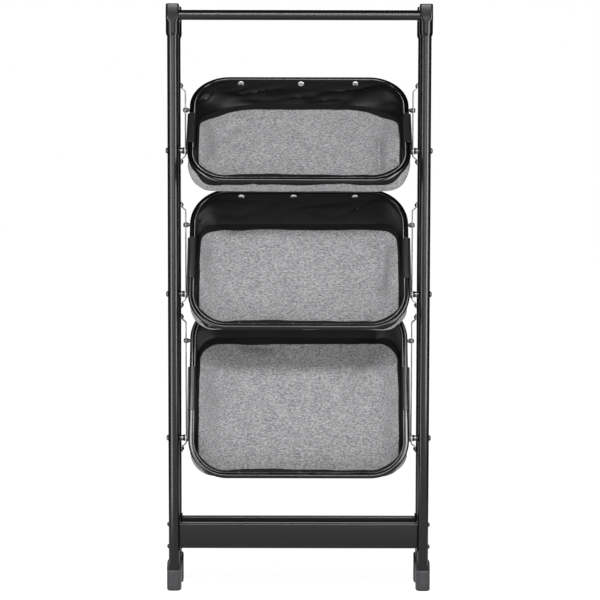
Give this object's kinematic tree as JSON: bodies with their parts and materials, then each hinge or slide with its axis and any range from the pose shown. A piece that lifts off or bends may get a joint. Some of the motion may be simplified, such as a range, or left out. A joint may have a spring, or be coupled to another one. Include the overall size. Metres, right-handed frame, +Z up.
{
  "type": "folding basket rack",
  "caption": "Open folding camp rack: slim tubular frames joined by tilted fabric baskets, which flatten as the rear frame closes on the front one.",
  "frame": {"origin": "centre of the footprint, on the ground", "axes": "+Z up, -Y the front that the baskets face, X from leg to leg"},
  "size_m": [0.532, 0.2112, 1.176],
  "materials": {
    "frame_paint": "black powder coat, soft sheen",
    "guide_steel": "black coated sheet steel",
    "fastener_steel": "blackened steel",
    "cap_plastic": "black moulded plastic",
    "spacer_plastic": "black moulded plastic",
    "joiner_plastic": "dark grey moulded plastic",
    "foot_rubber": "charcoal rubber",
    "bag_fabric": "grey marled woven fabric with a black hem"
  },
  "bodies": {
    "front_frame": {"front_leg_left": "frame_paint", "front_cap_left": "cap_plastic", "front_foot_left": "foot_rubber", "front_leg_right": "frame_paint", "front_cap_right": "cap_plastic", "front_foot_right": "foot_rubber", "carrying_bar": "frame_paint", "front_cross_plate": "frame_paint", "top_pivot_bolt_left": "fastener_steel", "top_pivot_spacer_left": "spacer_plastic", "top_pivot_bolt_right": "fastener_steel", "top_pivot_spacer_right": "spacer_plastic", "middle_pivot_bolt_left": "fastener_steel", "middle_pivot_spacer_left": "spacer_plastic", "middle_pivot_bolt_right": "fastener_steel", "middle_pivot_spacer_right": "spacer_plastic", "bottom_pivot_bolt_left": "fastener_steel", "bottom_pivot_spacer_left": "spacer_plastic", "bottom_pivot_bolt_right": "fastener_steel", "bottom_pivot_spacer_right": "spacer_plastic"},
    "rear_frame": {"rear_leg_left": "frame_paint", "rear_cap_left": "cap_plastic", "rear_foot_left": "foot_rubber", "top_guide_left": "guide_steel", "middle_guide_left": "guide_steel", "bottom_guide_left": "guide_steel", "rear_leg_right": "frame_paint", "rear_cap_right": "cap_plastic", "rear_foot_right": "foot_rubber", "top_guide_right": "guide_steel", "middle_guide_right": "guide_steel", "bottom_guide_right": "guide_steel", "rear_cross_plate": "frame_paint"},
    "top_basket": {"top_rim_front": "frame_paint", "top_rim_rear": "frame_paint", "top_bag": "bag_fabric", "top_rim_joiner_left": "joiner_plastic", "top_guide_stud_left": "fastener_steel", "top_rim_joiner_right": "joiner_plastic", "top_guide_stud_right": "fastener_steel"},
    "middle_basket": {"middle_rim_front": "frame_paint", "middle_rim_rear": "frame_paint", "middle_bag": "bag_fabric", "middle_rim_joiner_left": "joiner_plastic", "middle_guide_stud_left": "fastener_steel", "middle_rim_joiner_right": "joiner_plastic", "middle_guide_stud_right": "fastener_steel"},
    "bottom_basket": {"bottom_rim_front": "frame_paint", "bottom_rim_rear": "frame_paint", "bottom_bag": "bag_fabric", "bottom_rim_joiner_left": "joiner_plastic", "bottom_guide_stud_left": "fastener_steel", "bottom_rim_joiner_right": "joiner_plastic", "bottom_guide_stud_right": "fastener_steel"}
  },
  "joints": [
    {"name": "frame_fold", "type": "slide", "parent": "front_frame", "child": "rear_frame", "axis": [0, -1, 0], "range_m": [0, 0.034]},
    {"name": "top_tilt", "type": "hinge", "parent": "front_frame", "child": "top_basket", "pos_m": [0, -0.04697, 0.886], "axis": [1, 0, 0], "range_deg": [0, 20.77]},
    {"name": "middle_tilt", "type": "hinge", "parent": "front_frame", "child": "middle_basket", "pos_m": [0, -0.04697, 0.6], "axis": [1, 0, 0], "range_deg": [0, 13.6]},
    {"name": "bottom_tilt", "type": "hinge", "parent": "front_frame", "child": "bottom_basket", "pos_m": [0, -0.04697, 0.31], "axis": [1, 0, 0], "range_deg": [0, 10.01]}
  ],
  "couplings": [
    {"joint": "top_tilt", "follows": "frame_fold", "rad_per_m": 10.657},
    {"joint": "middle_tilt", "follows": "frame_fold", "rad_per_m": 6.9781},
    {"joint": "bottom_tilt", "follows": "frame_fold", "rad_per_m": 5.1371}
  ]
}
